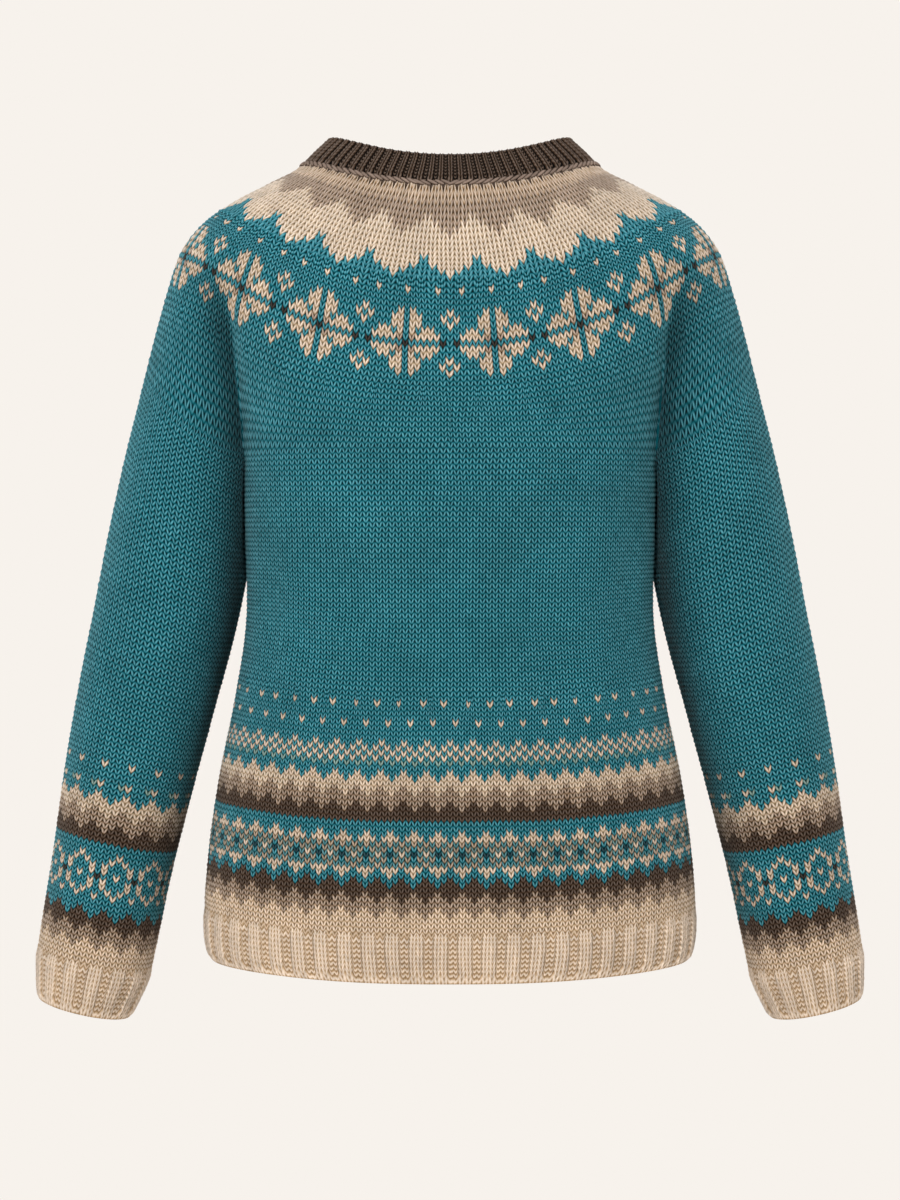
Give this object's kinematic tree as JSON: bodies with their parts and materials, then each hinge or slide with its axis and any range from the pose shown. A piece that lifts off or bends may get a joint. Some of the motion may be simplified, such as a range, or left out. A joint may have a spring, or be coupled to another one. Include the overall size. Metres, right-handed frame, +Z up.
{
  "type": "round yoke colourwork pullover",
  "caption": "Hollow worn-form knitted pullover with a round yoke, long sleeves, and ribbed neckband, hem and cuffs.",
  "frame": {"origin": "middle of the neck, level with the shoulder points where the neckband starts", "axes": "+Z up along the wearer; the back of the garment faces -Y and its front +Y; the wearer's left is -X"},
  "size_m": [0.638, 0.2024, 0.6711],
  "materials": {
    "dark_rib": "dark brown ribbed wool",
    "patterned_yoke": "teal stranded wool with cream, taupe and dark brown bands",
    "patterned_body": "teal stranded wool with cream, taupe and dark brown bands",
    "patterned_sleeve": "teal stranded wool with cream, taupe and dark brown bands",
    "pale_rib": "beige ribbed wool"
  },
  "bodies": {
    "root": {"neckband": "dark_rib", "yoke": "patterned_yoke", "body_back": "patterned_body", "body_front": "patterned_body", "hem_band": "pale_rib", "sleeve_left": "patterned_sleeve", "sleeve_right": "patterned_sleeve", "cuff_left": "pale_rib", "cuff_right": "pale_rib"}
  },
  "joints": []
}
